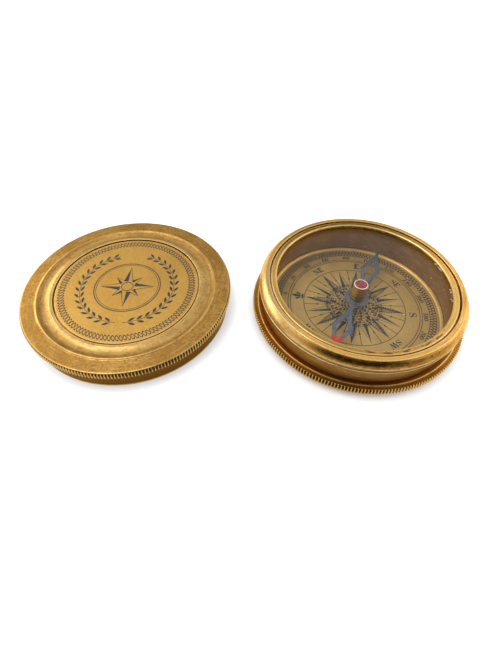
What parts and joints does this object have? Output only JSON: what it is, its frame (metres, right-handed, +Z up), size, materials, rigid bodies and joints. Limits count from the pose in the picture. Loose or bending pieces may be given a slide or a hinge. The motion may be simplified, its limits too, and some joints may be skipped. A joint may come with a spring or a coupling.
{
  "type": "brass compass",
  "caption": "Round brass compass with a knurled base, glazed bezel, printed rose dial and an openwork steel needle on a pivot, with its knurled lid lying beside it.",
  "frame": {"origin": "on the axis of the case, at the flat underside that it stands on", "axes": "+Z up along the case's axis, +X from the lid towards the case, so the picture looks along +Y"},
  "size_m": [0.1584, 0.0782, 0.0157],
  "materials": {
    "case_brass": "aged, satin",
    "wall_brass": "tarnished, satin",
    "bezel_brass": "aged, half polished",
    "ring_brass": "aged, stained",
    "lid_brass": "aged, mottled",
    "plaque_brass": "satin, etched black",
    "dial_print": "satin, printed black",
    "cap_brass": "turned",
    "bush_copper": "reddish, dull",
    "pin_steel": "ground",
    "blued_steel": "blued, red at the blunt tip",
    "jewel_red": "polished, red",
    "cement": "chalky",
    "pane": "clear, dusty"
  },
  "bodies": {
    "case": {"case_base": "case_brass", "case_wall": "wall_brass", "bezel": "bezel_brass", "glass": "pane", "glazing_seal": "cement", "glass_ring": "ring_brass", "sleeve": "wall_brass", "dial": "dial_print", "pivot_bush": "bush_copper", "pivot_pin": "pin_steel"},
    "needle": {"needle": "blued_steel", "needle_cap": "cap_brass", "cap_jewel": "jewel_red"},
    "lid": {"lid_shell": "lid_brass", "lid_plaque": "plaque_brass"}
  },
  "joints": [
    {"name": "needle_spin", "type": "hinge", "parent": "case", "child": "needle", "pos_m": [0, 0, 0.0109], "axis": [0, 0, 1], "continuous": true},
    {"name": "lid_lift", "type": "slide", "parent": "case", "child": "lid", "axis": [0, 0, 1], "range_m": [0, 0.03]}
  ]
}
